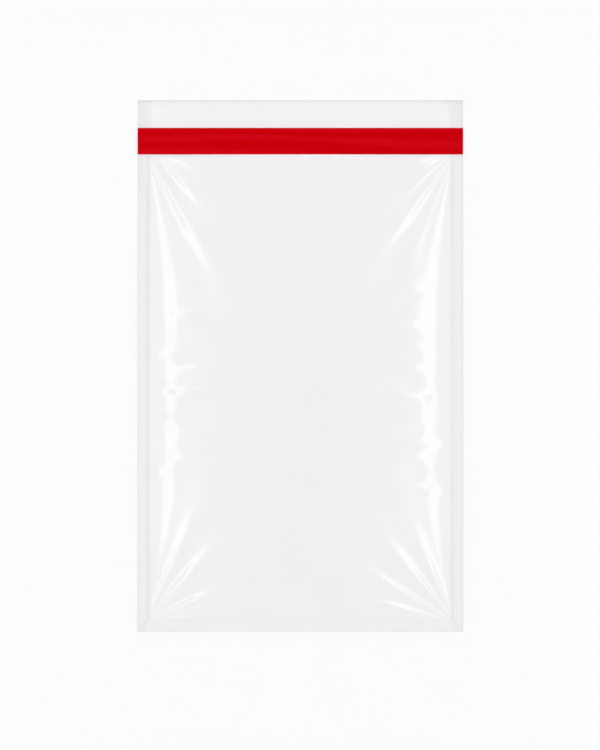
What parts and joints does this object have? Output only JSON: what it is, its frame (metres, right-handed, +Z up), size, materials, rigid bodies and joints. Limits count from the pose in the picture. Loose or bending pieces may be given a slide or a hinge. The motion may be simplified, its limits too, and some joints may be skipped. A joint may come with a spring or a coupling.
{
  "type": "self-seal clear film bag",
  "caption": "Flat clear film bag, welded on three sides and lightly puffed, with an open mouth and a longer lip that carries a glue strip under a red release liner.",
  "frame": {"origin": "on the table under the middle of the bag's outline, lip included", "axes": "+X across the bag, +Y from the bottom weld to the lip, +Z up from the table out of the puffed front"},
  "size_m": [0.16, 0.261, 0.0144],
  "materials": {
    "clear_film": "glossy clear polypropylene film",
    "clear_glue": "tacky clear acrylic glue",
    "red_liner": "satin red film"
  },
  "bodies": {
    "root": {"front_film": "clear_film", "back_film": "clear_film", "glue_strip": "clear_glue", "release_liner": "red_liner"}
  },
  "joints": []
}
